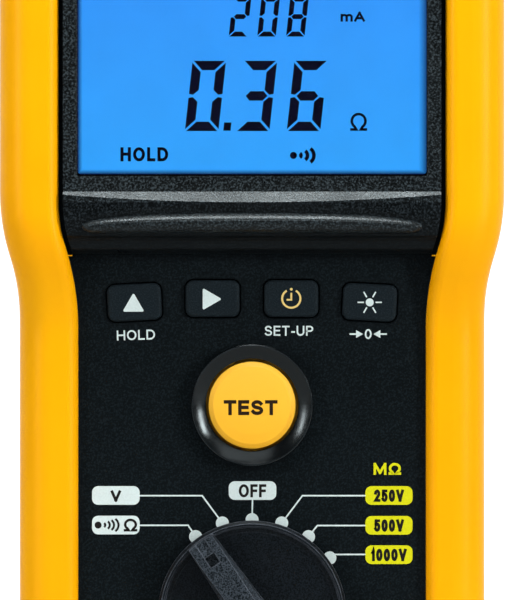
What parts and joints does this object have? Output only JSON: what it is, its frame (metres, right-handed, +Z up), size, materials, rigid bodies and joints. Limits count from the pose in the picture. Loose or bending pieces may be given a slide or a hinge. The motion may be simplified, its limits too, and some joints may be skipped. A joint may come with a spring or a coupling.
{
  "type": "insulation resistance tester",
  "caption": "Handheld insulation resistance tester in a rubber bumper, with a backlit display, keys, a test button, a rotary range switch, top sockets, a battery cover and a tilt stand.",
  "frame": {"origin": "middle of the base at floor level, the case standing upright", "axes": "+Z up along the case, the face looks towards -Y, +X to the right of someone facing it"},
  "size_m": [0.108, 0.06, 0.211],
  "materials": {
    "bumper_yellow": "satin",
    "foot_rubber": "matte",
    "case_black": "fine satin",
    "surround_grey": "grained",
    "knob_black": "grained",
    "guard_gloss": "glossy",
    "test_orange": "satin",
    "key_rubber": "matte",
    "mat_rubber": "matte",
    "window_clear": "clear",
    "lcd_blue": "backlit",
    "light_guide": "clear",
    "inner_plastic": "matte",
    "zebra_rubber": "matte",
    "board_green": "solder mask",
    "steel": "satin",
    "spring_steel": "drawn",
    "brass": "turned",
    "seal_rubber": "matte",
    "ferrite": "sintered",
    "winding_tape": "taped",
    "relay_blue": "moulded",
    "capacitor_can": "sleeved",
    "chip_black": "moulded",
    "fuse_glass": "clear",
    "cell_wrap": "printed wrap",
    "cover_black": "fine grain",
    "terminal_black": "satin",
    "terminal_red": "satin"
  },
  "bodies": {
    "case": {"front_bumper": "bumper_yellow", "rear_bumper": "bumper_yellow", "rear_feet": "foot_rubber", "front_housing": "case_black", "rear_housing": "case_black", "display_surround": "surround_grey", "test_guard_ring": "guard_gloss", "keypad_mat": "mat_rubber", "key_domes": "mat_rubber", "display_window": "window_clear", "lcd_glass": "lcd_blue", "backlight_guide": "light_guide", "lcd_frame": "inner_plastic", "board_connector": "inner_plastic", "detent_ring": "inner_plastic", "battery_holder": "inner_plastic", "test_switch": "inner_plastic", "buzzer": "inner_plastic", "zebra_strip": "zebra_rubber", "display_board": "board_green", "main_board": "board_green", "case_screws": "steel", "board_screws": "steel", "tilt_stand_pins": "steel", "test_button_spring": "spring_steel", "battery_springs": "spring_steel", "battery_plates": "spring_steel", "socket_contacts": "brass", "terminal_straps": "brass", "switch_tracks": "brass", "fuse_clips": "brass", "case_gasket": "seal_rubber", "knob_seal": "seal_rubber", "battery_cover_seal": "seal_rubber", "transformer_core": "ferrite", "transformer_winding": "winding_tape", "relays": "relay_blue", "capacitors": "capacitor_can", "integrated_circuits": "chip_black", "fuse": "fuse_glass", "battery_cells": "cell_wrap", "terminal_block": "terminal_black", "socket_black": "terminal_black", "socket_red": "terminal_red"},
    "knob": {"rotary_knob": "knob_black", "knob_clip": "steel", "switch_rotor": "inner_plastic", "detent_balls": "steel", "detent_springs": "spring_steel", "switch_wipers": "brass"},
    "test_button": {"test_button": "test_orange"},
    "key_up": {"key_up": "key_rubber"},
    "key_right": {"key_right": "key_rubber"},
    "key_timer": {"key_timer": "key_rubber"},
    "key_light": {"key_light": "key_rubber"},
    "cover": {"battery_cover": "cover_black", "battery_cover_screws": "steel"},
    "stand": {"tilt_stand": "cover_black"}
  },
  "joints": [
    {"name": "knob_turn", "type": "hinge", "parent": "case", "child": "knob", "pos_m": [0, -0.025, 0.053], "axis": [0, 1, 0], "range_deg": [0, 90]},
    {"name": "test_press", "type": "slide", "parent": "case", "child": "test_button", "axis": [0, 1, 0], "range_m": [0, 0.0016], "stiffness_N_per_m": 1400, "springref_m": -0.0004, "deforming": ["test_button_spring"]},
    {"name": "key_up_press", "type": "slide", "parent": "case", "child": "key_up", "axis": [0, 1, 0], "range_m": [0, 0.001], "stiffness_N_per_m": 1200, "springref_m": -0.0004, "deforming": ["key_domes"]},
    {"name": "key_right_press", "type": "slide", "parent": "case", "child": "key_right", "axis": [0, 1, 0], "range_m": [0, 0.001], "stiffness_N_per_m": 1200, "springref_m": -0.0004, "deforming": ["key_domes"]},
    {"name": "key_timer_press", "type": "slide", "parent": "case", "child": "key_timer", "axis": [0, 1, 0], "range_m": [0, 0.001], "stiffness_N_per_m": 1200, "springref_m": -0.0004, "deforming": ["key_domes"]},
    {"name": "key_light_press", "type": "slide", "parent": "case", "child": "key_light", "axis": [0, 1, 0], "range_m": [0, 0.001], "stiffness_N_per_m": 1200, "springref_m": -0.0004, "deforming": ["key_domes"]},
    {"name": "stand_swing", "type": "hinge", "parent": "case", "child": "stand", "pos_m": [0, 0.0254, 0.188], "axis": [1, 0, 0], "range_deg": [0, 75]},
    {"name": "cover_lift", "type": "slide", "parent": "case", "child": "cover", "axis": [0, 1, 0], "range_m": [0, 0.06]}
  ]
}
